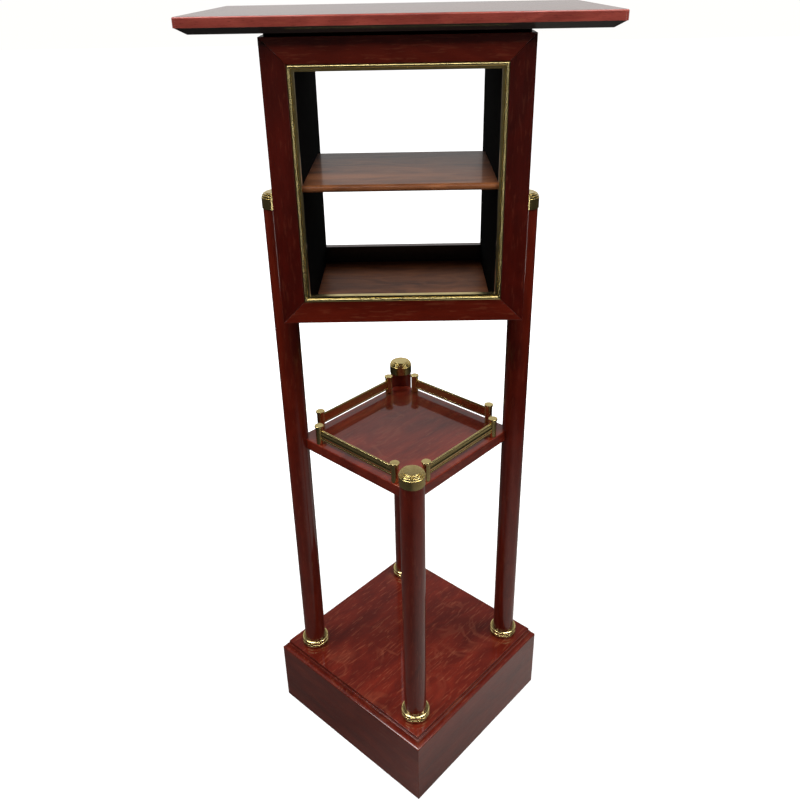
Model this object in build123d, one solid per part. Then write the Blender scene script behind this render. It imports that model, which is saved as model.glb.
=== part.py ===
"""A pedestal bible stand in mahogany and brass.

A square plinth stands corner-on to the front.  Four round columns rise from its corners.  The front
and back columns stop just above a small galleried tray; the left and right ones run on up the sides
of an open book box, which carries a wide overhanging top board.

Units are millimetres, +Z is up, the box faces -Y, and the origin is on the floor under the middle.
"""
import os
from build123d import *

# ---- driving dimensions ------------------------------------------------------------------------
TURN = 3.0                # the plinth, columns and tray stand this many degrees off square to the box

# plinth
PLINTH_SIDE = 336.0
PLINTH_WALL = 18.0        # thickness of the four side boards
PLINTH_FACE = 121.5       # height of the plain vertical face
PLINTH_ROUND = 1.5        # softened outer corners
LID_RISE = 16.0           # thickness of the moulded plinth top
LID_INSET = 9.0           # how far its upper arris stands in from the face
LID_RISER = 6.0           # upright part at the top of that moulding
LID_LEDGE = 2.0           # narrow flat under the upright part
PLINTH_TOP = PLINTH_FACE + LID_RISE

# columns
COLUMN_R = 18.2
COLUMN_AT = 175.5         # distance of each column from the middle
SHORT_CAP_Z = 602.0       # lower rim of the caps on the front and back columns
LEFT_CAP_Z = 956.0        # the same on the two tall columns: the right one stands a little lower
RIGHT_CAP_Z = 945.5

# brass rings round the column feet: two beads, one on the other
BEAD_R = 3.4
RING_CREST = COLUMN_R + 2.3

# brass caps
CAP_R = 19.2
CAP_SKIRT = 15.0          # height of the plain band
CAP_PLATE = 2.0           # metal over the end of the wood
CAP_STEPS = [(1.0, 2.8), (1.8, 2.4), (3.2, 1.7)]   # each step above the band: how far in, how far up

# galleried tray
TRAY_HALF = 171.0         # half diagonal before the corners are notched round the columns
TRAY_Z = 562.5
TRAY_THICK = 18.0
TRAY_TOP = TRAY_Z + TRAY_THICK
POST_OUT = 137.5          # the eight posts stand in pairs, one pair near each column
POST_APART = 23.0
POST_R = 6.0
POST_H = 32.5
POST_HEAD_R = 7.2
POST_HEAD_H = 3.0
RAIL_Z = TRAY_TOP + 7.0
RAIL_H = 18.5
RAIL_WEB = 2.6            # thickness of the flat back of a rail
RAIL_BEAD = 2.0           # radius of the beads along both edges
RAIL_SWELL_R = 9.0        # radius of the shallow swelling between them, 1.5 high

# book box
BOX_HALF_W = 160.0
BOX_HALF_D = 123.0
BOX_Z = 827.5
BOX_TOP = 1182.5
FRAME_W = 30.0            # width of the mitred frame members
FRAME_T = 18.0            # thickness of the front frame
BACK_FRAME_T = 12.0       # thickness of the back frame
PANEL_T = 12.0            # outer side panels, and the lid panel of the box
FLOOR_T = 5.0
LINING_IN = 123.0         # inner faces of the black linings
SHELF_Z = 999.5
SHELF_T = 9.0
SHELF_FRONT = 110.0
SHELF_BACK = 88.0            # the shelf stops short of the back frame
BRASS_W = 8.0             # brass bead round the front opening
BRASS_T = 10.0
BRASS_PROUD = 2.0

# top board
SPACER_H = 4.5
SPACER_IN = 6.0           # how far the black spacer stands in from the box
BOARD_HALF_W = 252.0
BOARD_HALF_D = 150.0
BOARD_T = 19.0
BOARD_FACE = 11.5         # upright edge; the rest of the thickness is a chamfer underneath
BOARD_CHAMFER = 12.5
BOARD_Z = BOX_TOP + SPACER_H
BOARD_SHIFT = 3.5         # the board sits this much to the right of the box's middle

OPEN_W = BOX_HALF_W - FRAME_W
OPEN_LO = BOX_Z + FRAME_W
OPEN_HI = BOX_TOP - FRAME_W


def block(x0, x1, y0, y1, z0, z1):
    """Rectangular block between the given limits."""
    return Pos((x0 + x1) / 2, (y0 + y1) / 2, (z0 + z1) / 2) * Box(x1 - x0, y1 - y0, z1 - z0)


def turned(points):
    """Solid of revolution about Z from (radius, height) points."""
    face = make_face(Plane.XZ * Polyline(*points, close=True))
    return revolve(face, Axis.Z, 360)


def quarter(shape, k):
    """Turn a shape about Z by k quarter turns plus the stand's own small turn."""
    return Rot(0, 0, 90 * k + TURN) * shape


parts = {}

# ---- plinth ------------------------------------------------------------------------------------
# The side boards are made for a square standing on its edge, then everything is swung by 45 degrees.
half = PLINTH_SIDE / 2


def plinth_board():
    outline = Polyline((-half, -half), (half, -half), (half - PLINTH_WALL, -half + PLINTH_WALL),
                       (-half + PLINTH_WALL, -half + PLINTH_WALL), close=True)
    board = extrude(make_face(outline), PLINTH_FACE)
    keep = extrude(RectangleRounded(PLINTH_SIDE, PLINTH_SIDE, PLINTH_ROUND), PLINTH_FACE)
    return board & keep


board = plinth_board()
# board k faces the direction 90*k-90 before the swing: k=0 faces the front left afterwards
for k, name in enumerate(["front_left", "front_right", "back_right", "back_left"]):
    parts[f"plinth_board_{name}"] = Rot(0, 0, 90 * k - 45 + TURN) * board


def plinth_lid():
    """Moulded board: a cove rises from the face to a narrow ledge, then a short upright edge."""
    body = block(-half, half, -half, half, 0, LID_RISE)
    cove_in = LID_INSET - LID_LEDGE
    lip = 1.2
    z_ledge = LID_RISE - LID_RISER
    section = make_face([
        Line((half + 5, lip), (half, lip)),
        RadiusArc((half, lip), (half - cove_in, z_ledge), 22),
        Line((half - cove_in, z_ledge), (half - LID_INSET, z_ledge)),
        Line((half - LID_INSET, z_ledge), (half - LID_INSET, LID_RISE + 5)),
        Line((half - LID_INSET, LID_RISE + 5), (half + 5, LID_RISE + 5)),
        Line((half + 5, LID_RISE + 5), (half + 5, lip)),
    ])
    cut = extrude(Plane.XZ * section, PLINTH_SIDE, both=True)
    for k in range(4):
        body = body - Rot(0, 0, 90 * k) * cut
    top_edges = body.edges().filter_by_position(Axis.Z, LID_RISE, LID_RISE)
    return fillet(top_edges, 1.0)


parts["plinth_top"] = Rot(0, 0, 45 + TURN) * (Pos(0, 0, PLINTH_FACE) * plinth_lid())

# ---- book box outline, used to flatten the tall columns where they lie against it ----------------
box_outline = block(-BOX_HALF_W, BOX_HALF_W, -BOX_HALF_D, BOX_HALF_D, BOX_Z, BOX_TOP)

# ---- columns, caps and rings ---------------------------------------------------------------------


def column(cap_z):
    top = cap_z + CAP_SKIRT - CAP_PLATE
    shaft = Pos(0, 0, PLINTH_TOP) * Cylinder(COLUMN_R, top - PLINTH_TOP,
                                             align=(Align.CENTER, Align.CENTER, Align.MIN))
    return shaft


def cap():
    """Cup with a plain band and three steps; its lower rim is at z = 0."""
    steps = [(COLUMN_R, 0), (CAP_R - 0.4, 0), (CAP_R, 0.4), (CAP_R, CAP_SKIRT)]
    z = CAP_SKIRT
    r = CAP_R
    for inset, rise in CAP_STEPS:
        r -= inset
        steps.append((r, z))
        z += rise
        steps.append((r, z))
    steps += [(0, z), (0, CAP_SKIRT - CAP_PLATE), (COLUMN_R, CAP_SKIRT - CAP_PLATE)]
    return turned(steps)


def foot_ring():
    """Two half-round beads stacked round the foot of a column."""
    ring = None
    for z in (BEAD_R, 3 * BEAD_R):
        bead = Pos(0, 0, z) * Torus(RING_CREST, BEAD_R)
        web = Pos(0, 0, z) * Cylinder(RING_CREST, 2 * BEAD_R)
        piece = bead + web
        ring = piece if ring is None else ring + piece
    ring = ring & Cylinder(40, 4 * BEAD_R, align=(Align.CENTER, Align.CENTER, Align.MIN))
    return ring - Cylinder(COLUMN_R, 60)


cap_shape = cap()
ring_shape = foot_ring()
corners = {"right": 0, "back": 1, "left": 2, "front": 3}
cap_heights = {"right": RIGHT_CAP_Z, "back": SHORT_CAP_Z, "left": LEFT_CAP_Z, "front": SHORT_CAP_Z}
for name, k in corners.items():
    cap_z = cap_heights[name]
    shaft = quarter(Pos(COLUMN_AT, 0, 0) * column(cap_z), k)
    lid = quarter(Pos(COLUMN_AT, 0, cap_z) * cap_shape, k)
    if name in ("left", "right"):
        shaft = shaft - box_outline
        lid = lid - box_outline
    parts[f"column_{name}"] = shaft
    parts[f"column_cap_{name}"] = lid
    parts[f"foot_ring_{name}"] = quarter(Pos(COLUMN_AT, 0, PLINTH_TOP) * ring_shape, k)

# ---- galleried tray ------------------------------------------------------------------------------


def tray():
    side = TRAY_HALF * 2 ** 0.5
    body = Pos(0, 0, TRAY_Z) * (Rot(0, 0, 45) * Box(side, side, TRAY_THICK,
                                                    align=(Align.CENTER, Align.CENTER, Align.MIN)))
    long_edges = body.edges().filter_by(Plane.XY)
    body = fillet(long_edges, 1.5)
    for k in range(4):
        body = body - Rot(0, 0, 90 * k) * (Pos(COLUMN_AT, 0, TRAY_Z) * Cylinder(COLUMN_R, 60))
    return Rot(0, 0, TURN) * body


parts["tray"] = tray()


def gallery_post():
    post = turned([(0, 0), (POST_R, 0), (POST_R, POST_H - POST_HEAD_H),
                   (POST_HEAD_R, POST_H - POST_HEAD_H), (POST_HEAD_R, POST_H - 0.8),
                   (POST_HEAD_R - 0.8, POST_H), (0, POST_H)])
    return post


post_shape = gallery_post()
pair = [("a", -POST_APART), ("b", POST_APART)]
for name, k in corners.items():
    for letter, off in pair:
        parts[f"gallery_post_{name}_{letter}"] = quarter(Pos(POST_OUT, off, TRAY_TOP) * post_shape, k)


def gallery_rail():
    """Rail between two posts, lying along X: flat back, bead top and bottom, swelling middle.

    The outer side is -Y.
    """
    run = (POST_OUT - POST_APART) * 2 ** 0.5
    length = run + 2.0
    web = block(-length / 2, length / 2, -RAIL_WEB / 2, RAIL_WEB / 2, RAIL_BEAD, RAIL_H - RAIL_BEAD)
    shape = web
    for z in (RAIL_BEAD, RAIL_H - RAIL_BEAD):
        bead = Pos(0, 0, z) * (Rot(0, 90, 0) * Cylinder(RAIL_BEAD, length))
        shape = shape + bead
    swell_at = -RAIL_WEB / 2 - 1.5 + RAIL_SWELL_R
    swell = Pos(0, swell_at, RAIL_H / 2) * (Rot(0, 90, 0) * Cylinder(RAIL_SWELL_R, length))
    swell = swell & block(-length, length, -RAIL_WEB / 2 - 3.2, 0, 0, RAIL_H)
    shape = shape + swell
    for x in (-run / 2, run / 2):
        shape = shape - Pos(x, 0, RAIL_H / 2) * Cylinder(POST_R, 60)
    return shape


rail_shape = gallery_rail()
rail_out = (POST_OUT + POST_APART) / 2 ** 0.5
for k, name in enumerate(["front_left", "front_right", "back_right", "back_left"]):
    placed = Rot(0, 0, 90 * k - 45 + TURN) * (Pos(0, -rail_out, RAIL_Z) * rail_shape)
    parts[f"gallery_rail_{name}"] = placed

# ---- book box ------------------------------------------------------------------------------------


def mitred(outer_w, outer_z0, outer_z1, width, y0, y1):
    """Four mitred members of a frame in the XZ plane between y0 and y1."""
    wi = outer_w - width
    z0, z1 = outer_z0 + width, outer_z1 - width
    shapes = {
        "bottom": [(-outer_w, outer_z0), (outer_w, outer_z0), (wi, z0), (-wi, z0)],
        "top": [(-wi, z1), (wi, z1), (outer_w, outer_z1), (-outer_w, outer_z1)],
        "left": [(-outer_w, outer_z0), (-wi, z0), (-wi, z1), (-outer_w, outer_z1)],
        "right": [(outer_w, outer_z0), (outer_w, outer_z1), (wi, z1), (wi, z0)],
    }
    members = {}
    for side, points in shapes.items():
        face = make_face(Pos(0, y1, 0) * (Plane.XZ * Polyline(*points, close=True)))
        members[side] = extrude(face, y1 - y0, dir=(0, -1, 0))
    return members


front = mitred(BOX_HALF_W, BOX_Z, BOX_TOP, FRAME_W, -BOX_HALF_D, -BOX_HALF_D + FRAME_T)
back = mitred(BOX_HALF_W, BOX_Z, BOX_TOP, FRAME_W, BOX_HALF_D - BACK_FRAME_T, BOX_HALF_D)
kinds = {"bottom": "rail_bottom", "top": "rail_top", "left": "stile_left", "right": "stile_right"}
for side, kind in kinds.items():
    parts[f"front_{kind}"] = front[side]
    parts[f"back_{kind}"] = back[side]

y_in = -BOX_HALF_D + FRAME_T
y_out = BOX_HALF_D - BACK_FRAME_T
for sign, name in ((-1, "left"), (1, "right")):
    a, b = sorted((sign * (BOX_HALF_W - PANEL_T), sign * BOX_HALF_W))
    parts[f"side_panel_{name}"] = block(a, b, y_in, y_out, BOX_Z, BOX_TOP)
    a, b = sorted((sign * LINING_IN, sign * OPEN_W))
    lining = block(a, b, y_in, y_out, BOX_Z + FLOOR_T, BOX_TOP - PANEL_T)
    front_edge = -BOX_HALF_D - BRASS_PROUD + BRASS_T
    tongue = block(a, b, front_edge, BOX_HALF_D, OPEN_LO, OPEN_HI)
    parts[f"lining_{name}"] = lining + tongue

inner = BOX_HALF_W - PANEL_T
parts["box_floor"] = block(-inner, inner, y_in, y_out, BOX_Z, BOX_Z + FLOOR_T)
parts["box_lid"] = block(-inner, inner, y_in, y_out, BOX_TOP - PANEL_T, BOX_TOP)

shelf = block(-LINING_IN, LINING_IN, -SHELF_FRONT, SHELF_BACK, SHELF_Z, SHELF_Z + SHELF_T)
nose = shelf.edges().filter_by(Axis.X).filter_by_position(Axis.Y, -SHELF_FRONT, -SHELF_FRONT)
parts["box_shelf"] = fillet(nose, SHELF_T / 2 - 0.2)


# Brass strips: a mitred frame inside the opening, its front worked to a round bead and a lower lip.
BEAD_W = 5.0
LIP_DROP = 2.4


def brass_frame():
    y0 = -BOX_HALF_D - BRASS_PROUD
    y1 = y0 + BRASS_T
    members = mitred(OPEN_W, OPEN_LO, OPEN_HI, BRASS_W, y0, y1)
    r = BEAD_W / 2
    lip_y = y0 + LIP_DROP
    # waste to be taken off a strip whose outer edge is at u = 0 and inner edge at u = BRASS_W
    waste = make_face([
        Line((-1, y0 - 1), (BRASS_W + 1, y0 - 1)),
        Line((BRASS_W + 1, y0 - 1), (BRASS_W + 1, lip_y)),
        Line((BRASS_W + 1, lip_y), (BEAD_W, lip_y)),
        Line((BEAD_W, lip_y), (BEAD_W, y0 + r)),
        ThreePointArc((BEAD_W, y0 + r), (r, y0), (0, y0 + r)),
        Line((0, y0 + r), (-1, y0 + r)),
        Line((-1, y0 + r), (-1, y0 - 1)),
    ])
    long = 2 * (OPEN_HI - OPEN_LO)
    up = extrude(waste, long, both=True)
    mid = (OPEN_LO + OPEN_HI) / 2
    cutters = {
        "left": Pos(-OPEN_W, 0, mid) * up,
        "right": mirror(Pos(-OPEN_W, 0, mid) * up, Plane.YZ),
        "bottom": Pos(0, 0, OPEN_LO) * (Rot(0, -90, 0) * up),
        "top": Pos(0, 0, OPEN_HI) * (Rot(0, 90, 0) * up),
    }
    return {side: members[side] - cutters[side] for side in members}


for side, strip in brass_frame().items():
    parts[f"brass_bead_{side}"] = strip

# ---- top board -----------------------------------------------------------------------------------
parts["spacer"] = block(-BOX_HALF_W + SPACER_IN, BOX_HALF_W - SPACER_IN, -BOX_HALF_D + SPACER_IN,
                        BOX_HALF_D - SPACER_IN, BOX_TOP, BOARD_Z)


def top_board():
    """Board with an upright edge, a wide chamfer beneath it and a softened upper arris."""
    chamfer_h = BOARD_T - BOARD_FACE
    upper = Pos(0, 0, BOARD_Z + chamfer_h) * extrude(
        RectangleRounded(2 * BOARD_HALF_W, 2 * BOARD_HALF_D, 4), BOARD_FACE)
    low_w = 2 * (BOARD_HALF_W - BOARD_CHAMFER)
    low_d = 2 * (BOARD_HALF_D - BOARD_CHAMFER)
    lower = loft([Pos(0, 0, BOARD_Z) * RectangleRounded(low_w, low_d, 2),
                  Pos(0, 0, BOARD_Z + chamfer_h) * RectangleRounded(2 * BOARD_HALF_W - 1.6,
                                                                    2 * BOARD_HALF_D - 1.6, 4)])
    body = upper + lower
    top = body.faces().sort_by(Axis.Z)[-1]
    return fillet(top.edges(), 2.0)


parts["top_board"] = Pos(BOARD_SHIFT, 0, 0) * top_board()

# ---- write every part ----------------------------------------------------------------------------
os.makedirs("parts", exist_ok=True)
for name, shape in parts.items():
    export_step(shape, f"parts/{name}.step")
    size = shape.bounding_box()
    print(f"{name:28s} solids {len(shape.solids())}  z {size.min.Z:8.1f} .. {size.max.Z:8.1f}"
          f"  volume {shape.volume / 1000:9.1f} cm3")
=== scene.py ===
# %% [markdown]
# # A pedestal bible stand in mahogany and brass
#
# The real piece is cabinet work: a corner-on square plinth, four turned columns with brass caps and
# foot rings, a small galleried tray, and an open book box under a wide top board. The joinery is
# already fixed by a CAD frame. This lesson dresses that frame: pieces whose edges need the soft
# arris of finished woodwork or the crisp steps of turned brass are modelled again over it, and every
# surface gets a finish built from nodes.

# %% Open the frame
import bmesh
import bpy
from math import radians
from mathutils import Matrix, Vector


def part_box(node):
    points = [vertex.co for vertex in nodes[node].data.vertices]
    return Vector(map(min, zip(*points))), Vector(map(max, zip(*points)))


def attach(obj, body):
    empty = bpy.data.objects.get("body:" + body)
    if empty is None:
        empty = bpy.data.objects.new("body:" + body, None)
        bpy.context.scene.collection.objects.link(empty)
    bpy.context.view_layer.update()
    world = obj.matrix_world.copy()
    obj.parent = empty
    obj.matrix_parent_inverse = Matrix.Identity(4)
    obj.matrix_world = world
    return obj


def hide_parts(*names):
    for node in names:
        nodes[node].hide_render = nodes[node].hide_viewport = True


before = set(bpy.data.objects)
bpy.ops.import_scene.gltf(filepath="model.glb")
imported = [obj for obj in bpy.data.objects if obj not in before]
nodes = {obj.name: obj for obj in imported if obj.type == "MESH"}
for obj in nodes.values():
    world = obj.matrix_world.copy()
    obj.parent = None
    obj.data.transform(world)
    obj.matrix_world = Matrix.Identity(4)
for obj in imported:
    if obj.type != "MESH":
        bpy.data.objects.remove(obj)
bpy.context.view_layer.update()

# %% [markdown]
# ## Working by hand, in code
# An operator acts on whatever is selected, and the frame arrives selected. So the bench is cleared
# before each new piece. A piece is started from a primitive, shaped in edit mode, and its place and
# size are then put into its mesh, so that patterns on object coordinates stay where they belong.

# %% Clearing the bench and picking one piece


def clear_bench():
    if bpy.context.mode != "OBJECT":
        bpy.ops.object.mode_set(mode="OBJECT")
    bpy.ops.object.select_all(action="DESELECT")


def take(piece):
    clear_bench()
    piece.select_set(True)
    bpy.context.view_layer.objects.active = piece


def settle(piece):
    """Put the piece's place, turn and size into its mesh."""
    take(piece)
    bpy.ops.object.transform_apply(location=True, rotation=True, scale=True)
    return piece


clear_bench()
print("bench clear:", len(bpy.context.selected_objects), "selected")

# %% Selecting faces by place and direction


def edit(piece):
    take(piece)
    bpy.ops.object.mode_set(mode="EDIT")
    bpy.ops.mesh.select_mode(type="FACE")


def pick_faces(piece, wanted):
    """Select the faces for which wanted(centre, normal) holds; the piece is in edit mode."""
    bpy.ops.mesh.select_all(action="DESELECT")
    mesh = bmesh.from_edit_mesh(piece.data)
    for face in mesh.faces:
        face.select_set(bool(wanted(face.calc_center_median(), face.normal)))
    bmesh.update_edit_mesh(piece.data)


def saw(piece, point, outwards):
    """Cut the piece on a plane, throw away the side the normal points to, and close the cut."""
    edit(piece)
    bpy.ops.mesh.select_all(action="SELECT")
    bpy.ops.mesh.bisect(plane_co=point, plane_no=outwards, use_fill=True, clear_outer=True)
    bpy.ops.object.mode_set(mode="OBJECT")


def ease(piece, width, segments=3, angle=30):
    """Take the arrises off: a small rounded bevel on every edge sharper than the angle."""
    take(piece)
    bpy.ops.object.shade_smooth_by_angle(angle=radians(angle))
    bevel = piece.modifiers.new("arris", "BEVEL")
    bevel.width = width
    bevel.segments = segments
    bevel.limit_method = "ANGLE"
    bevel.angle_limit = radians(angle)
    bevel.harden_normals = True
    bpy.ops.object.modifier_apply(modifier=bevel.name)


def block(name, low, high):
    """A squared-up board between two corners."""
    clear_bench()
    middle = [(a + b) / 2 for a, b in zip(low, high)]
    size = [b - a for a, b in zip(low, high)]
    bpy.ops.mesh.primitive_cube_add(size=1, location=middle, scale=size)
    piece = bpy.context.object
    piece.name = name
    piece.data.name = name
    return settle(piece)


def swing(piece, degrees):
    """Turn a piece about the middle of the stand."""
    piece.rotation_euler.z = radians(degrees)
    return settle(piece)


def another(piece, name):
    """A copy with its own mesh."""
    take(piece)
    bpy.ops.object.duplicate(linked=False)
    copy = bpy.context.object
    copy.name = name
    copy.data.name = name
    return copy


def fit(piece, node):
    """The finished piece stands for its node in the frame."""
    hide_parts(node)
    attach(piece, "root")
    return piece


new_pieces = {}
print("tools ready")

# %% [markdown]
# ## The plinth
# Four boards are mitred at the corners and carry a moulded top. Mitres could be drawn as a polygon
# and extruded, but a joiner saws them, and so does this: a square board is bisected at 45 degrees at
# both ends. The eased arris then leaves the fine V line that a real mitre shows.

# %% Four mitred plinth boards
TURN = 3.0            # the lower part stands this many degrees off square to the box
PLINTH_HALF = 0.168
PLINTH_WALL = 0.018
PLINTH_FACE = 0.1215

board = block(
    "plinth_board",
    (-PLINTH_HALF, -PLINTH_HALF, 0),
    (PLINTH_HALF, -PLINTH_HALF + PLINTH_WALL, PLINTH_FACE))
saw(board, (PLINTH_HALF, -PLINTH_HALF, 0), (1, 1, 0))
saw(board, (-PLINTH_HALF, -PLINTH_HALF, 0), (-1, 1, 0))
ease(board, 0.0008)
for k, side in enumerate(("front_left", "front_right", "back_right", "back_left")):
    node = f"plinth_board_{side}"
    new_pieces[node] = swing(another(board, f"mitred_{node}"), 90 * k - 45 + TURN)
    fit(new_pieces[node], node)
bpy.data.objects.remove(board)
faces = len(new_pieces["plinth_board_front_left"].data.polygons)
print("plinth boards:", len(new_pieces), "with", faces, "faces each")

# %% [markdown]
# The top of the plinth is a moulded board: a cove sweeps in from the face to a narrow ledge, and a
# short upright edge finishes it. The moulding is worked all round at once by extruding the top face
# in small rises and drawing it in after each one.

# %% The moulded plinth top
LID_RISE = 0.016
LID_COVE = [      # how far up, how far in
    (0.0012, 0.0), (0.0028, 0.0029), (0.0045, 0.0047),
    (0.0064, 0.0060), (0.0085, 0.0067), (0.0100, 0.0070)]
LID_LEDGE_IN = 0.009

lid = block(
    "moulded_plinth_top",
    (-PLINTH_HALF, -PLINTH_HALF, PLINTH_FACE),
    (PLINTH_HALF, PLINTH_HALF, PLINTH_FACE + LID_COVE[0][0]))
edit(lid)
pick_faces(lid, lambda centre, normal: normal.z > 0.9)
drawn_in = 0.0
height = LID_COVE[0][0]


def rise_and_draw_in(up, to_inset):
    """One short extrusion of the selected top face, then its outline drawn in to the new inset."""
    factor = (PLINTH_HALF - to_inset) / (PLINTH_HALF - drawn_in)
    bpy.ops.mesh.extrude_region_move(TRANSFORM_OT_translate={"value": (0, 0, up)})
    bpy.ops.transform.resize(value=(factor, factor, 1), center_override=(0, 0, 0))
    return to_inset


for rise, inset in LID_COVE[1:]:
    drawn_in = rise_and_draw_in(rise - height, inset)
    height = rise
drawn_in = rise_and_draw_in(0.0, LID_LEDGE_IN)
drawn_in = rise_and_draw_in(LID_RISE - height, LID_LEDGE_IN)
bpy.ops.object.mode_set(mode="OBJECT")
ease(lid, 0.0007, angle=35)
swing(lid, 45 + TURN)
new_pieces["plinth_top"] = fit(lid, "plinth_top")
print("plinth top:", [round(v, 4) for v in lid.dimensions])

# %% [markdown]
# ## The mitred frames of the book box
# The front of the box is a picture frame of four mitred members, and the back is a thinner one. They
# are cut the same way as the plinth boards: one long board per side, two saw cuts, eased arrises.

# %% Front and back frames
BOX_HALF_W = 0.160
BOX_LOW = 0.8275
BOX_HIGH = 1.1825
FRAME_W = 0.030


def frame_member(node, side, y0, y1):
    low_edge, high_edge = BOX_LOW + FRAME_W, BOX_HIGH - FRAME_W
    inner = BOX_HALF_W - FRAME_W
    limits = {
        "rail_bottom": ((-BOX_HALF_W, BOX_LOW), (BOX_HALF_W, low_edge)),
        "rail_top": ((-BOX_HALF_W, high_edge), (BOX_HALF_W, BOX_HIGH)),
        "stile_left": ((-BOX_HALF_W, BOX_LOW), (-inner, BOX_HIGH)),
        "stile_right": ((inner, BOX_LOW), (BOX_HALF_W, BOX_HIGH)),
    }
    (x0, z0), (x1, z1) = limits[side]
    member = block(f"mitred_{node}", (x0, y0, z0), (x1, y1, z1))
    inner_corners = [(x, z) for z in (low_edge, high_edge) for x in (-inner, inner)]
    for corner_x, corner_z in inner_corners:
        along_x = 1 if corner_x > 0 else -1
        along_z = 1 if corner_z > (BOX_LOW + BOX_HIGH) / 2 else -1
        if side.startswith("rail") and (along_z > 0) == (side == "rail_top"):
            saw(member, (corner_x, 0, corner_z), (along_x, 0, -along_z))
        if side.startswith("stile") and (along_x > 0) == (side == "stile_right"):
            saw(member, (corner_x, 0, corner_z), (-along_x, 0, along_z))
    ease(member, 0.0007)
    return member


for face in ("front", "back"):
    for side in ("rail_bottom", "rail_top", "stile_left", "stile_right"):
        node = f"{face}_{side}"
        low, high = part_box(node)
        new_pieces[node] = fit(frame_member(node, side, low.y, high.y), node)
print("frame members:", [n for n in new_pieces if "stile" in n or "rail" in n])

# %% [markdown]
# ## Turned brass: caps, foot rings and gallery posts
# A cap is a cup with a plain band, three fine steps and a flat disc. It is turned from one bar, so
# one cylinder is inset and extruded step by step, and the cup is sunk from below. A foot ring is two
# half-round beads, one on the other. A post has a head a little wider than its shank.

# %% One column cap
COLUMN_R = 0.0182
CAP_R = 0.0192
CAP_SKIRT = 0.015
CAP_PLATE = 0.002     # metal over the end of the column
CAP_STEPS = [(0.0010, 0.0028), (0.0018, 0.0024), (0.0032, 0.0017)]   # how far in, how far up


def turned_bar(name, radius, height, sides=96):
    clear_bench()
    bpy.ops.mesh.primitive_cylinder_add(
        vertices=sides, radius=radius, depth=height, location=(0, 0, height / 2))
    bar = bpy.context.object
    bar.name = name
    bar.data.name = name
    return settle(bar)


def facing(up):
    """The end face of a turned bar: by its direction, and wide enough not to be a side."""
    return lambda centre, normal: normal.z * up > 0.9 and (centre.x ** 2 + centre.y ** 2) < 1e-8


def cap_blank():
    cap = turned_bar("cap", CAP_R, CAP_SKIRT)
    edit(cap)
    pick_faces(cap, facing(1))
    for inset, rise in CAP_STEPS:
        bpy.ops.mesh.inset(thickness=inset, depth=0)
        bpy.ops.mesh.extrude_region_move(TRANSFORM_OT_translate={"value": (0, 0, rise)})
    pick_faces(cap, facing(-1))
    bpy.ops.mesh.inset(thickness=CAP_R - COLUMN_R, depth=0)
    bpy.ops.mesh.extrude_region_move(TRANSFORM_OT_translate={"value": (0, 0, CAP_SKIRT - CAP_PLATE)})
    bpy.ops.object.mode_set(mode="OBJECT")
    return cap


cap = cap_blank()
print("cap height", round(cap.dimensions.z, 4), "faces", len(cap.data.polygons))

# %% Caps on their columns
COLUMN_AT = 0.1755
CORNERS = {"right": 0, "back": 1, "left": 2, "front": 3}


def stand_at(piece, out, aside, z, quarter):
    """Move a piece out along its diagonal, and swing it round to its corner."""
    piece.location = (out, aside, z)
    settle(piece)
    return swing(piece, 90 * quarter + TURN)


for corner, quarter in CORNERS.items():
    node = f"column_cap_{corner}"
    low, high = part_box(node)
    own = stand_at(another(cap, f"stepped_{node}"), COLUMN_AT, 0, low.z, quarter)
    if corner == "left":
        saw(own, (-BOX_HALF_W, 0, 0), (1, 0, 0))
    if corner == "right":
        saw(own, (BOX_HALF_W, 0, 0), (-1, 0, 0))
    ease(own, 0.0004)
    new_pieces[node] = fit(own, node)
bpy.data.objects.remove(cap)

# %% Foot rings
PLINTH_TOP = 0.1375
BEAD_R = 0.0034
RING_CREST = COLUMN_R + 0.0023
RING_CLEARANCE = 0.0001


def beaded_ring():
    """Two beads with a sleeve behind them: the sleeve is a bar bored out to the column."""
    clear_bench()
    sleeve = turned_bar("ring", RING_CREST, 4 * BEAD_R)
    edit(sleeve)
    pick_faces(sleeve, lambda centre, normal: abs(normal.z) > 0.9)
    bpy.ops.mesh.inset(thickness=RING_CREST - COLUMN_R - RING_CLEARANCE, depth=0)
    bpy.ops.mesh.bridge_edge_loops()
    bpy.ops.object.mode_set(mode="OBJECT")
    parts = [sleeve]
    for level in (BEAD_R, 3 * BEAD_R):
        clear_bench()
        bpy.ops.mesh.primitive_torus_add(
            major_segments=96, minor_segments=24,
            major_radius=RING_CREST, minor_radius=BEAD_R, location=(0, 0, level))
        parts.append(bpy.context.object)
    for part in parts:
        part.select_set(True)
    bpy.context.view_layer.objects.active = sleeve
    bpy.ops.object.join()
    settle(sleeve)
    bpy.ops.object.shade_smooth_by_angle(angle=radians(50))
    return sleeve


ring = beaded_ring()
for corner, quarter in CORNERS.items():
    node = f"foot_ring_{corner}"
    own = stand_at(another(ring, f"beaded_{node}"), COLUMN_AT, 0, PLINTH_TOP, quarter)
    new_pieces[node] = fit(own, node)
bpy.data.objects.remove(ring)
print("foot rings", round(own.dimensions.x, 4), "m across")

# %% Gallery posts
TRAY_TOP = 0.5805
POST_OUT = 0.1375
POST_APART = 0.023
POST_R = 0.006
POST_HEAD_R = 0.0072
POST_H = 0.0325
POST_HEAD_H = 0.003

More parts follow.
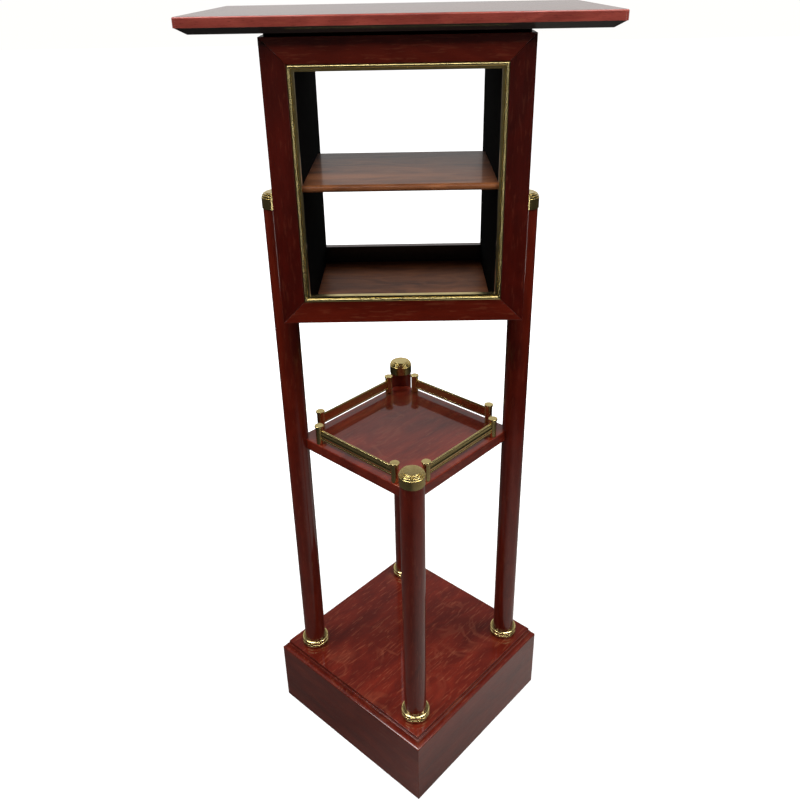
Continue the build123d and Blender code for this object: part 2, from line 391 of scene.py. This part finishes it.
post = turned_bar("post", POST_R, POST_H - POST_HEAD_H, sides=48)
edit(post)
pick_faces(post, facing(1))
widen = POST_HEAD_R / POST_R
bpy.ops.mesh.extrude_region_move(TRANSFORM_OT_translate={"value": (0, 0, 0)})
bpy.ops.transform.resize(value=(widen, widen, 1))
bpy.ops.mesh.extrude_region_move(TRANSFORM_OT_translate={"value": (0, 0, POST_HEAD_H)})
bpy.ops.object.mode_set(mode="OBJECT")
ease(post, 0.0006)
for corner, quarter in CORNERS.items():
    for letter, aside in (("a", -POST_APART), ("b", POST_APART)):
        node = f"gallery_post_{corner}_{letter}"
        own = stand_at(another(post, f"headed_{node}"), POST_OUT, aside, TRAY_TOP, quarter)
        new_pieces[node] = fit(own, node)
bpy.data.objects.remove(post)
print("posts:", sum("post" in n for n in new_pieces))

# %% [markdown]
# ## Finishes: shared effects first
# Three effects are used by more than one finish, so each is a node group: the figure of the wood,
# the arrises lightened by thinned stain and a painted highlight with painted shade in the inner
# corners, and the handling marks on brass. A group only gives out values that change over the
# surface; the shader itself stays in each material.

# %% A small helper for node groups


def new_group(name, inputs, outputs):
    group = bpy.data.node_groups.new(name, "ShaderNodeTree")
    for label, kind, value in inputs:
        socket = group.interface.new_socket(name=label, in_out="INPUT", socket_type=kind)
        if value is not None:
            socket.default_value = value
    for label, kind in outputs:
        group.interface.new_socket(name=label, in_out="OUTPUT", socket_type=kind)
    return group, group.nodes.new("NodeGroupInput"), group.nodes.new("NodeGroupOutput")


def add(tree, kind, **settings):
    """Add a node. Settings that name an input socket set its value; others set the node."""
    node = tree.nodes.new(kind)
    for key, value in settings.items():
        label = key.replace("_", " ")
        if label in node.inputs:
            node.inputs[label].default_value = value
        else:
            setattr(node, key, value)
    return node


def math(tree, operation, a, b=None):
    node = add(tree, "ShaderNodeMath", operation=operation)
    for place, value in enumerate((a, b)):
        if value is None:
            continue
        if isinstance(value, (int, float)):
            node.inputs[place].default_value = value
        else:
            tree.links.new(value, node.inputs[place])
    return node.outputs[0]


def times(tree, a, b):
    return math(tree, "MULTIPLY", a, b)


def plus(tree, a, b):
    return math(tree, "ADD", a, b)


def spread(tree, value, low, high, to_low=0.0, to_high=1.0):
    """Stretch a value from one range to another, clamped."""
    node = add(tree, "ShaderNodeMapRange", From_Min=low, From_Max=high, To_Min=to_low, To_Max=to_high)
    tree.links.new(value, node.inputs["Value"])
    return node.outputs[0]


def blend_colour(tree, factor, a, b, mode="MIX"):
    node = add(tree, "ShaderNodeMix", data_type="RGBA", blend_type=mode)
    for socket, value in ((node.inputs[0], factor), (node.inputs[6], a), (node.inputs[7], b)):
        if isinstance(value, (int, float)):
            socket.default_value = value
        elif isinstance(value, tuple):
            socket.default_value = (*value, 1)
        else:
            tree.links.new(value, socket)
    return node.outputs[2]


print("node helpers ready")

# %% [markdown]
# Mahogany-stained wood shows four things at once: slow bands of tone, the wavy figure of the growth
# rings, fine fibres, and short open pores. The grain runs along X here; a material turns its
# coordinates so that it runs along each piece.

# %% The figure of the wood


def stretched_noise(tree, vector, stretch, scale, detail=4.0, rough=0.55, distortion=0.0):
    longways = add(tree, "ShaderNodeVectorMath", operation="MULTIPLY")
    longways.inputs[1].default_value = stretch
    tree.links.new(vector, longways.inputs[0])
    noise = add(
        tree, "ShaderNodeTexNoise",
        Scale=scale, Detail=detail, Roughness=rough, Distortion=distortion)
    tree.links.new(longways.outputs[0], noise.inputs["Vector"])
    return noise.outputs["Fac"]


figure, given, result = new_group(
    "wood figure",
    [("Vector", "NodeSocketVector", None)],
    [(label, "NodeSocketFloat") for label in ("Tone", "Figure", "Fibre", "Pores", "Flecks", "Flame")])
along = given.outputs["Vector"]


def give(tree, result, name, value, low, high):
    """Spread a value over 0 to 1 and put it out of the group under a name."""
    tree.links.new(spread(tree, value, low, high), result.inputs[name])


bands = stretched_noise(figure, along, (1.0, 7.0, 7.0), 4.0, 3.0)
give(figure, result, "Tone", bands, 0.32, 0.68)
bow = stretched_noise(figure, along, (1.0, 2.5, 2.5), 5.0, 3.0, 0.5, 0.4)
across = add(figure, "ShaderNodeSeparateXYZ")
figure.links.new(along, across.inputs[0])
ring_count = plus(figure, times(figure, across.outputs["Y"], 22.0), times(figure, across.outputs["Z"], 15.0))
bowed_rings = plus(figure, ring_count, times(figure, bow, 9.0))
ring_wave = math(figure, "SINE", times(figure, bowed_rings, 5.0))
give(figure, result, "Figure", ring_wave, -0.6, 1.0)
fibres = stretched_noise(figure, along, (1.0, 24.0, 24.0), 40.0, 5.0, 0.65)
give(figure, result, "Fibre", fibres, 0.3, 0.7)
pores = stretched_noise(figure, along, (1.0, 11.0, 11.0), 190.0, 2.0, 0.4)
give(figure, result, "Pores", pores, 0.62, 0.72)
flecks = stretched_noise(figure, along, (1.0, 8.0, 8.0), 45.0, 2.0, 0.5, 0.5)
give(figure, result, "Flecks", flecks, 0.58, 0.68)
drift = stretched_noise(figure, along, (1.3, 1.0, 1.0), 9.0, 3.0, 0.55, 0.8)
curl = plus(figure, times(figure, across.outputs["X"], 30.0), times(figure, drift, 26.0))
ripple = spread(figure, math(figure, "SINE", curl), 0.6, 1.0)
patches = spread(figure, stretched_noise(figure, along, (1.0, 1.0, 1.0), 11.0, 2.0), 0.46, 0.62)
figure.links.new(times(figure, ripple, patches), result.inputs["Flame"])
print("wood figure gives", [s.name for s in figure.interface.items_tree if s.in_out == "OUTPUT"])

# %% [markdown]
# Hands and cloths thin the stain along the arrises, and a painted highlight lightens them more; the
# inner corners get painted shade. A bevelled normal compared with the true one finds the arrises;
# occlusion finds the corners. A noise breaks both up, so that no edge is lightened evenly.

# %% Thinned and highlighted arrises, painted corner shade
rubbing_and_shade, given, result = new_group(
    "lightened edges, painted corner shade",
    [("Width", "NodeSocketFloat", 0.0015)],
    [("Arris Wear And Sheen", "NodeSocketFloat"), ("Painted Corner Shade", "NodeSocketFloat")])
rounded = add(rubbing_and_shade, "ShaderNodeBevel", samples=4)
rubbing_and_shade.links.new(given.outputs["Width"], rounded.inputs["Radius"])
true_normal = add(rubbing_and_shade, "ShaderNodeNewGeometry")
compare = add(rubbing_and_shade, "ShaderNodeVectorMath", operation="DOT_PRODUCT")
rubbing_and_shade.links.new(rounded.outputs[0], compare.inputs[0])
rubbing_and_shade.links.new(true_normal.outputs["Normal"], compare.inputs[1])
place = add(rubbing_and_shade, "ShaderNodeTexCoord")
patchy = spread(rubbing_and_shade, stretched_noise(rubbing_and_shade, place.outputs["Object"], (1, 1, 1), 38.0, 4.0), 0.35, 0.7)
bent = spread(rubbing_and_shade, compare.outputs["Value"], 0.99, 0.80)
rubbing_and_shade.links.new(times(rubbing_and_shade, bent, patchy), result.inputs["Arris Wear And Sheen"])
# Occlusion finds the inner corners, where painted shade darkens the colour.
shade = add(rubbing_and_shade, "ShaderNodeAmbientOcclusion", samples=4, Distance=0.012)
rubbing_and_shade.links.new(spread(rubbing_and_shade, shade.outputs["AO"], 0.75, 0.35), result.inputs["Painted Corner Shade"])
print("lightened edges, painted corner shade ready")

# %% [markdown]
# Polished brass keeps a faint cloudiness from handling and fine lines from the polishing cloth, and
# it goes brown in the grooves where the cloth never reaches.

# %% Handled brass
handling, given, result = new_group(
    "handled brass", [],
    [("Cloud", "NodeSocketFloat"), ("Lines", "NodeSocketFloat"), ("Grooves", "NodeSocketFloat")])
place = add(handling, "ShaderNodeTexCoord")
where = place.outputs["Object"]
cloud = stretched_noise(handling, where, (1, 1, 1), 90.0, 5.0, 0.6)
give(handling, result, "Cloud", cloud, 0.35, 0.7)
cloth_lines = stretched_noise(handling, where, (1, 1, 9), 900.0, 2.0, 0.6)
give(handling, result, "Lines", cloth_lines, 0.35, 0.65)
shade = add(handling, "ShaderNodeAmbientOcclusion", samples=4, Distance=0.004)
handling.links.new(spread(handling, shade.outputs["AO"], 0.7, 0.3), result.inputs["Grooves"])
print("handled brass ready")

# %% [markdown]
# ## The finishes
# The red-brown lacquer is a clear coat over stained wood. The coat carries the sharp reflections and
# the stain below stays deep. Every finish gets its own turn and shift of the grain, so no two boards
# look sawn from the same spot.

# %% Lacquered mahogany
DEEP_STAIN = (0.058, 0.0032, 0.0012)
WARM_STAIN = (0.150, 0.0130, 0.0045)
# The lighter tone for the figure's flecks and flame and for the arrises, where it is partly thinned stain
# and partly a painted highlight.
RUBBED_AND_SHEEN_TONE = (0.30, 0.085, 0.040)
BLACK_PAINT = (0.050, 0.044, 0.042)
CROWN_DEEP = (0.030, 0.006, 0.003)
CROWN_WARM = (0.120, 0.022, 0.009)
FIBRE_SHARE = 0.25        # how much of the tone comes from the fine fibres
PAINT_EDGE = 0.0003       # how softly paint and stain end


def new_material(name):
    material = bpy.data.materials.new(name)
    material.use_nodes = True
    tree = material.node_tree
    return material, tree, tree.nodes["Principled BSDF"]


def place_grain(tree, turn, shift):
    """Object coordinates turned so that X runs along the grain."""
    place = add(tree, "ShaderNodeTexCoord")
    turned = add(tree, "ShaderNodeMapping", vector_type="POINT")
    turned.inputs["Rotation"].default_value = [radians(a) for a in turn]
    turned.inputs["Location"].default_value = shift
    tree.links.new(place.outputs["Object"], turned.inputs["Vector"])
    return turned.outputs[0]


def own_place(tree, axis):
    """One coordinate of the piece's own place in the stand."""
    apart = add(tree, "ShaderNodeSeparateXYZ")
    tree.links.new(add(tree, "ShaderNodeTexCoord").outputs["Object"], apart.inputs[0])
    return apart.outputs[axis]


def use_group(tree, group):
    node = tree.nodes.new("ShaderNodeGroup")
    node.node_tree = group
    return node


def wood(name, turn, shift, deep, warm, rubbed_and_sheen, roughness, coat, coat_roughness,
         figure_share=0.2, flecks=0.1, flame=0.0, wear=0.55, gloss=0.12, depth=0.2,
         black_under=None, black_within=None, dark_above=None):
    """Stained wood under a clear coat. The last three paint it black below a height or inside a
    depth, and above a height give it the crown stain of a top face, darker than warm and deep,
    which on the top board carry a painted sheen."""
    material, tree, shader = new_material(name)
    grain = use_group(tree, figure)
    tree.links.new(place_grain(tree, turn, shift), grain.inputs["Vector"])
    worn_and_shaded = use_group(tree, rubbing_and_shade)
    rings = times(tree, grain.outputs["Figure"], figure_share)
    bands = times(tree, grain.outputs["Tone"], 1 - FIBRE_SHARE - figure_share)
    tone = plus(tree, plus(tree, rings, bands), times(tree, grain.outputs["Fibre"], FIBRE_SHARE))
    colour = blend_colour(tree, tone, deep, warm)
    colour = blend_colour(tree, times(tree, grain.outputs["Flecks"], flecks), colour, rubbed_and_sheen)
    colour = blend_colour(tree, times(tree, grain.outputs["Flame"], flame), colour, rubbed_and_sheen)
    pore_colour = tuple(c * 0.35 for c in deep)
    colour = blend_colour(tree, times(tree, grain.outputs["Pores"], 0.55), colour, pore_colour)
    # Lighter along the arrises: partly thinned stain, partly a painted highlight.
    colour = blend_colour(tree, times(tree, worn_and_shaded.outputs["Arris Wear And Sheen"], wear), colour, rubbed_and_sheen)
    # Darker in the inner corners: painted shade from occlusion.
    corner_shade_colour = tuple(c * 0.3 for c in deep)
    colour = blend_colour(tree, times(tree, worn_and_shaded.outputs["Painted Corner Shade"], 0.6), colour, corner_shade_colour)
    dullness = spread(tree, grain.outputs["Fibre"], 0.0, 1.0, roughness - 0.06, roughness + 0.08)
    shader.inputs["Coat Weight"].default_value = coat
    painted = None
    if black_under is not None:
        low, high = black_under - PAINT_EDGE, black_under + PAINT_EDGE
        painted = spread(tree, own_place(tree, "Z"), high, low)
    if black_within is not None:
        low, high = black_within - PAINT_EDGE, black_within + PAINT_EDGE
        painted = spread(tree, own_place(tree, "Y"), high, low)
    if dark_above is not None:
        crown = spread(tree, own_place(tree, "Z"), dark_above - PAINT_EDGE, dark_above)
        colour = blend_colour(tree, crown, colour, blend_colour(tree, tone, CROWN_DEEP, CROWN_WARM))
    if painted is not None:
        colour = blend_colour(tree, painted, colour, BLACK_PAINT)
        dullness = plus(tree, dullness, times(tree, painted, 0.35))
        unpainted = math(tree, "SUBTRACT", 1.0, times(tree, painted, 0.45))
        tree.links.new(times(tree, unpainted, coat), shader.inputs["Coat Weight"])
    tree.links.new(colour, shader.inputs["Base Color"])
    tree.links.new(dullness, shader.inputs["Roughness"])
    shader.inputs["Coat Roughness"].default_value = coat_roughness
    shader.inputs["Specular IOR Level"].default_value = gloss
    relief = add(tree, "ShaderNodeBump", Strength=depth, Distance=0.0002)
    hollow = math(tree, "SUBTRACT", times(tree, grain.outputs["Fibre"], 0.35), grain.outputs["Pores"])
    tree.links.new(hollow, relief.inputs["Height"])
    tree.links.new(relief.outputs[0], shader.inputs["Normal"])
    return material


def mahogany(name, turn=(0, 0, 0), shift=(0, 0, 0), **changes):
    settings = dict(
        deep=DEEP_STAIN, warm=WARM_STAIN, rubbed_and_sheen=RUBBED_AND_SHEEN_TONE,
        roughness=0.34, coat=0.85, coat_roughness=0.05)
    settings.update(changes)
    return wood(name, turn, shift, **settings)


# The stiles are coloured darker than the rails.
STILE_WARM = (0.085, 0.0050, 0.0020)
STILE_DEEP = (0.030, 0.0015, 0.0008)
# The top board's edge colours, on this line and two lines down, carry a painted sheen that makes the edge
# lighter than the top face.
EDGE_STAIN_AND_SHEEN = (0.42, 0.080, 0.058)
TRAY_STAIN = (0.20, 0.020, 0.008)
EDGE_DEEP_AND_SHEEN = (0.080, 0.0070, 0.0040)
UPRIGHT = (0, 90, 0)      # grain along Z
ACROSS = (0, 0, 0)        # grain along X
print("stains", DEEP_STAIN, WARM_STAIN)

# %% Wood on every wooden piece


def finish_with(material, *names):
    for name in names:
        piece = new_pieces.get(name) or nodes[name]
        piece.data.materials.clear()
        piece.data.materials.append(material)


DIAGONAL = -45 - TURN     # the tray and plinth top run with the plinth, corner-on to the box
BACK_PAINT_FROM = 0.1115  # the back frame is black on its inner side, up to this depth
UNDER_PAINT_TO = 1.1945   # the board is black from here down
BOARD_TOP = 1.2059        # just under the board's top face

for k, side in enumerate(("front_left", "front_right", "back_right", "back_left")):
    board_wood = mahogany(
        f"mahogany plinth {side}", (0, 0, 45 - TURN - 90 * k), (0.3 * k, 0.11 * k, 0.07))
    finish_with(board_wood, f"plinth_board_{side}")
lid_wood = mahogany(
    "mahogany plinth top", (0, 0, DIAGONAL), (0.02, 0.03, 0.4),
    figure_share=0.22, flecks=0.3, flame=0.2)
finish_with(lid_wood, "plinth_top")
tray_wood = mahogany(
    "mahogany tray", (0, 0, DIAGONAL), (0.5, 0.2, 0.1),
    warm=TRAY_STAIN, figure_share=0.2, flecks=0.2, flame=0.18)
finish_with(tray_wood, "tray")
for k, corner in enumerate(CORNERS):
    column_wood = mahogany(f"mahogany column {corner}", UPRIGHT, (0.37 * k, 0.05 * k, 0.1))
    finish_with(column_wood, f"column_{corner}")
for face, inner_black in (("front", None), ("back", BACK_PAINT_FROM)):
    rail_wood = mahogany(
        f"mahogany {face} rails", ACROSS, (0.2, 0.3, 0.13),
        black_within=inner_black, wear=0.25, flecks=0.2)
    finish_with(rail_wood, f"{face}_rail_bottom", f"{face}_rail_top")
    stile_wood = mahogany(
        f"mahogany {face} stiles", UPRIGHT, (0.1, 0.23, 0.31),
        warm=STILE_WARM, deep=STILE_DEEP, black_within=inner_black, wear=0.25)
    finish_with(stile_wood, f"{face}_stile_left", f"{face}_stile_right")
side_wood = mahogany("mahogany side panels", UPRIGHT, (0.7, 0.4, 0.2))
finish_with(side_wood, "side_panel_left", "side_panel_right")
# The edge colours carry a painted sheen, so the board's edge is lighter than its top face.
top_wood = mahogany(
    "mahogany top board", ACROSS, (0.1, 0.6, 0.3),
    warm=EDGE_STAIN_AND_SHEEN, deep=EDGE_DEEP_AND_SHEEN, flecks=0.3, black_under=UNDER_PAINT_TO, dark_above=BOARD_TOP)
finish_with(top_wood, "top_board")
print("mahogany on", len([m for m in bpy.data.materials if m.name.startswith("mahogany")]), "materials")

# %% Satin wood inside the box, and the blackened pieces
satin = dict(
    deep=(0.060, 0.016, 0.007), warm=(0.36, 0.120, 0.042), rubbed_and_sheen=(0.60, 0.27, 0.11),
    roughness=0.42, coat=0.12, coat_roughness=0.25)
polished_shelf = dict(
    satin, warm=(0.42, 0.15, 0.055), coat=0.32, coat_roughness=0.09, roughness=0.4)
finish_with(wood("satin shelf", ACROSS, (0.05, 0.3, 0.2), **polished_shelf), "box_shelf")
finish_with(wood("satin box floor", ACROSS, (0.4, 0.1, 0.5), **satin), "box_floor", "box_lid")
black = dict(
    deep=(0.0004, 0.0004, 0.0005), warm=(0.0016, 0.0013, 0.0014), rubbed_and_sheen=(0.012, 0.008, 0.007),
    roughness=0.85, coat=0.0, coat_roughness=0.3, figure_share=0.1, gloss=0.02)
finish_with(wood("blackened linings", UPRIGHT, (0.1, 0.1, 0.1), **black), "lining_left", "lining_right")
finish_with(wood("blackened spacer", ACROSS, (0.2, 0.1, 0.1), **black), "spacer")
print("satin and black woods done")

# %% Brass
BRIGHT_BRASS = (0.84, 0.69, 0.31)
DULL_BRASS = (0.60, 0.44, 0.15)
BROWN_GROOVE = (0.16, 0.085, 0.03)
POLISH = 0.14             # roughness where the cloth has been


def brass(name):
    material, tree, shader = new_material(name)
    marks = use_group(tree, handling)
    colour = blend_colour(tree, times(tree, marks.outputs["Cloud"], 0.5), BRIGHT_BRASS, DULL_BRASS)
    colour = blend_colour(tree, times(tree, marks.outputs["Grooves"], 0.7), colour, BROWN_GROOVE)
    tree.links.new(colour, shader.inputs["Base Color"])
    shader.inputs["Metallic"].default_value = 1.0
    clouded = times(tree, marks.outputs["Cloud"], 0.10)
    lined = times(tree, marks.outputs["Lines"], 0.05)
    tree.links.new(plus(tree, plus(tree, clouded, lined), POLISH), shader.inputs["Roughness"])
    return material


polished = brass("polished brass")
brass_nodes = [n for n in nodes if n.startswith(("column_cap", "foot_ring", "gallery_", "brass_bead"))]
finish_with(polished, *brass_nodes)
print("brass on", len(brass_nodes), "pieces")

# %% [markdown]
# ## Floor, light and camera
# A plain pale floor, three broad softboxes overhead, a narrow one that gives the brass its glint,
# and two low strips for the columns. The room behind the camera is dimmer than the light above,
# which keeps the upright faces deep in tone. To the camera the floor and the room are white; what
# the lacquer reflects and is lit by is darker. Light Path tells the two apart.

# %% Floor
clear_bench()
bpy.ops.mesh.primitive_plane_add(size=30, location=(0, 0, -0.0005))
floor = bpy.context.object
floor.name = "studio_floor"
material, tree, shader = new_material("pale floor")
spot = add(tree, "ShaderNodeTexCoord")
reach = add(tree, "ShaderNodeVectorMath", operation="LENGTH")
tree.links.new(spot.outputs["Object"], reach.inputs[0])
sideways = add(tree, "ShaderNodeSeparateXYZ")
tree.links.new(spot.outputs["Object"], sideways.inputs[0])
# For what the lacquer reflects and is lit by, the floor is a painted pool of light: bright near the stand
# and towards +X, dim beyond, and lighter again far away.
near = spread(tree, reach.outputs["Value"], 1.2, 0.3)
lit_side = spread(tree, sideways.outputs["X"], -0.15, 0.3, 0.09, 0.42)
far_floor = spread(tree, reach.outputs["Value"], 3.0, 8.0, 0.0, 0.35)
pool = plus(tree, plus(tree, times(tree, near, lit_side), 0.01), far_floor)
seen = add(tree, "ShaderNodeLightPath")
warm_pool = blend_colour(tree, 1.0, pool, (1.0, 0.93, 0.86), "MULTIPLY")
floor_colour = blend_colour(tree, seen.outputs["Is Camera Ray"], warm_pool, (0.9, 0.9, 0.9))
tree.links.new(floor_colour, shader.inputs["Base Color"])
white_out = spread(tree, reach.outputs["Value"], 0.4, 1.6, 0.25, 1.0)
bright = times(tree, seen.outputs["Is Camera Ray"], white_out)
shader.inputs["Emission Color"].default_value = (1, 1, 1, 1)
tree.links.new(bright, shader.inputs["Emission Strength"])
shader.inputs["Roughness"].default_value = 0.9
shader.inputs["Specular IOR Level"].default_value = 0.0
floor.data.materials.append(material)
print("floor", floor.dimensions.x, "m")

# %% Soft daylight all round
world = bpy.data.worlds.new("studio")
bpy.context.scene.world = world
world.use_nodes = True
tree = world.node_tree
tree.nodes.clear()
direction = add(tree, "ShaderNodeTexCoord")
parts_of = add(tree, "ShaderNodeSeparateXYZ")
tree.links.new(direction.outputs["Generated"], parts_of.inputs[0])
below_ceiling = spread(tree, parts_of.outputs["Z"], 0.72, 0.52, 0.08, 0.56)
behind = spread(tree, parts_of.outputs["Y"], -0.1, 0.4)
level = plus(tree, times(tree, below_ceiling, behind), 0.04)
camera_ray = add(tree, "ShaderNodeLightPath")
level = math(tree, "MAXIMUM", level, times(tree, camera_ray.outputs["Is Camera Ray"], 1.02))
glow = add(tree, "ShaderNodeBackground")
glow.inputs["Color"].default_value = (1.0, 0.985, 0.965, 1)
tree.links.new(level, glow.inputs["Strength"])
out = add(tree, "ShaderNodeOutputWorld")
tree.links.new(glow.outputs[0], out.inputs["Surface"])
print("world ready")

# %% Softboxes


def softbox(name, place, look_at, width, height, watts, glare=True):
    light = bpy.data.lights.new(name, "AREA")
    light.shape = "RECTANGLE"
    light.size = width
    light.size_y = height
    light.energy = watts
    lamp = bpy.data.objects.new(name, light)
    bpy.context.collection.objects.link(lamp)
    lamp.location = place
    lamp.rotation_euler = (Vector(look_at) - Vector(place)).to_track_quat("-Z", "Y").to_euler()
    lamp.visible_glossy = glare
    return lamp


softbox("left overhead", (-1.25, -0.25, 3.1), (0, 0, 0.5), 0.9, 2.0, 68)
softbox("right overhead", (1.25, -0.25, 3.1), (0, 0, 0.5), 0.9, 2.0, 68)
softbox("front overhead", (0.0, -1.7, 3.0), (0, -0.1, 0.6), 1.6, 1.0, 34, glare=False)
softbox("front glint", (0.0, -1.9, 2.6), (0, 0, 0.9), 2.0, 0.22, 12)
softbox("left low strip", (-1.1, -2.1, 0.5), (0, 0, 0.5), 0.08, 1.3, 2.0)
softbox("right low strip", (1.1, -2.1, 0.5), (0, 0, 0.5), 0.08, 1.3, 2.4)

# %% Camera
eye = bpy.data.cameras.new("camera")
eye.sensor_width = 36.0
eye.lens = 35.6375
eye.shift_x = -0.0072916
eye.shift_y = -0.0322179
camera = bpy.data.objects.new("camera", eye)
bpy.context.collection.objects.link(camera)
camera.location = (0.01133867, -1.10107738, 1.24860818)
camera.rotation_euler = (radians(62.9107982), radians(0.9237416), radians(0.0369151))
bpy.context.scene.camera = camera
bpy.context.scene.view_settings.view_transform = "Standard"
print("camera", [round(v, 3) for v in camera.location])
